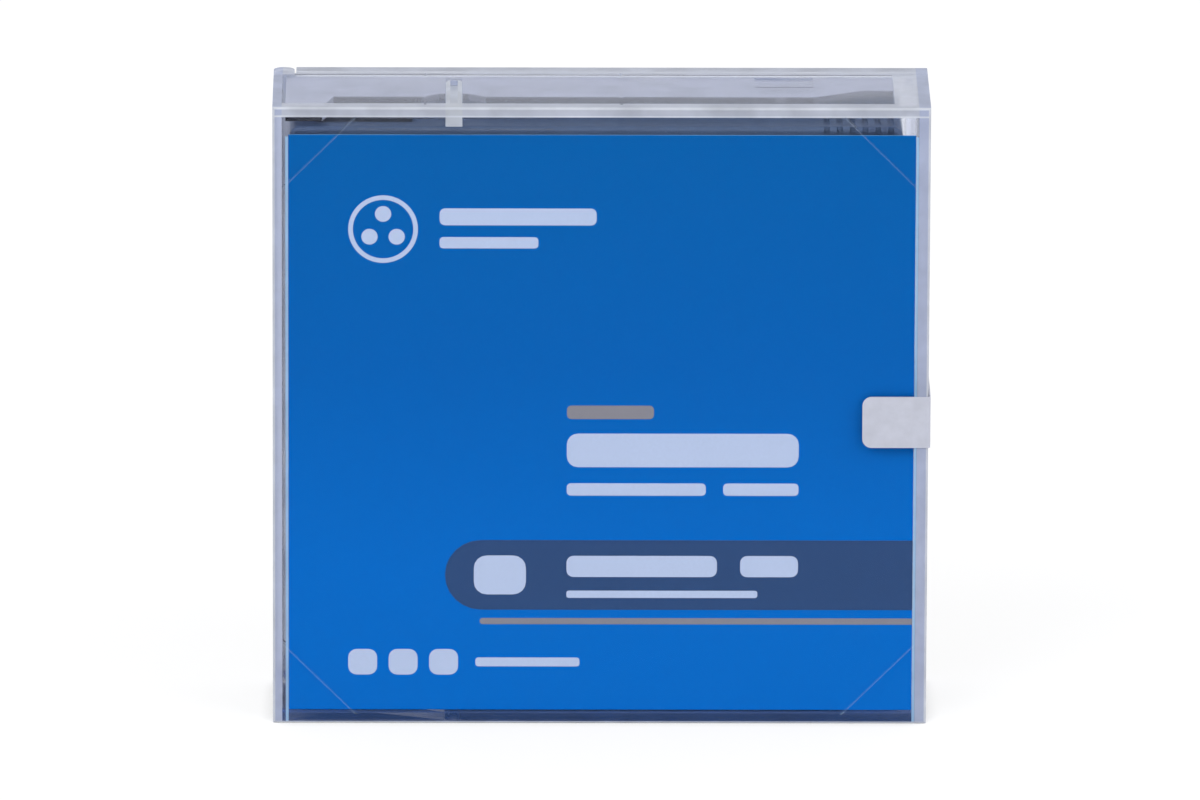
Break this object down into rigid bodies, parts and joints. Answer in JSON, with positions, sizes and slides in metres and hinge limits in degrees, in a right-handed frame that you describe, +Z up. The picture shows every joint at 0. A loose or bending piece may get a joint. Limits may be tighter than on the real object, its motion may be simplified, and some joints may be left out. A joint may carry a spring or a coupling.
{
  "type": "single-reel data tape cartridge in a clear hinged storage case",
  "caption": "Half-inch data tape cartridge standing in its clear hinged storage case, with a printed card, a paper seal, a sprung door, a brake and a reel.",
  "frame": {"origin": "middle of the footprint of the case as it stands on its bottom wall", "axes": "+Z up; +X towards the opening side with the seal; -Y towards the front with the card; +Y towards the case's back"},
  "size_m": [0.1134, 0.0284, 0.11],
  "materials": {
    "clear_plastic": "clear, slightly hazy lavender-grey styrene, moulded",
    "printed_card": "satin-printed card, blue deepening to the lower half",
    "seal_paper": "matt label paper with a pale sheen",
    "shell_plastic": "fine spark texture",
    "reel_plastic": "smooth moulded, pale grey",
    "tape_film": "wound film, satin edge",
    "steel": "plain",
    "brake_plastic": "smooth moulded, natural",
    "door_plastic": "smooth moulded",
    "tab_plastic": "smooth moulded, orange-red",
    "board": "solder mask green"
  },
  "bodies": {
    "case": {"case_base": "clear_plastic", "seal_rear": "seal_paper", "upper_shell": "shell_plastic", "lower_shell": "shell_plastic", "shell_screws": "steel", "brake_spring": "steel", "leader_pin": "steel", "leader_clip": "brake_plastic", "tape_leader": "tape_film", "pin_springs": "steel", "door_spring": "steel", "memory_board": "board"},
    "lid": {"case_lid": "clear_plastic", "insert_card": "printed_card", "seal_front": "seal_paper"},
    "reel": {"reel_hub": "reel_plastic", "reel_flange": "reel_plastic", "tape_pack": "tape_film", "clutch_plate": "steel"},
    "brake": {"brake_button": "brake_plastic"},
    "pad": {"release_pad": "brake_plastic"},
    "door": {"access_door": "door_plastic"},
    "tab": {"write_protect_slider": "tab_plastic"}
  },
  "joints": [
    {"name": "lid_hinge", "type": "hinge", "parent": "case", "child": "lid", "pos_m": [-0.0547, 0.0122, 0.055], "axis": [0, 0, -1], "range_deg": [0, 180]},
    {"name": "reel_spin", "type": "hinge", "parent": "case", "child": "reel", "pos_m": [0.0013, 0, 0.055], "axis": [0, 1, 0], "continuous": true},
    {"name": "brake_lift", "type": "slide", "parent": "case", "child": "brake", "axis": [0, -1, 0], "range_m": [0, 0.0015], "stiffness_N_per_m": 600, "springref_m": -0.004, "deforming": ["brake_spring"]},
    {"name": "pad_push", "type": "slide", "parent": "reel", "child": "pad", "axis": [0, -1, 0], "range_m": [0, 0.0015]},
    {"name": "door_slide", "type": "slide", "parent": "case", "child": "door", "axis": [1, 0, 0], "range_m": [0, 0.015], "stiffness_N_per_m": 20, "springref_m": -0.01, "deforming": ["door_spring"]},
    {"name": "tab_slide", "type": "slide", "parent": "case", "child": "tab", "axis": [0, 0, 1], "range_m": [0, 0.0055]}
  ],
  "couplings": [
    {"joint": "pad_push", "follows": "brake_lift", "ratio": 1}
  ]
}
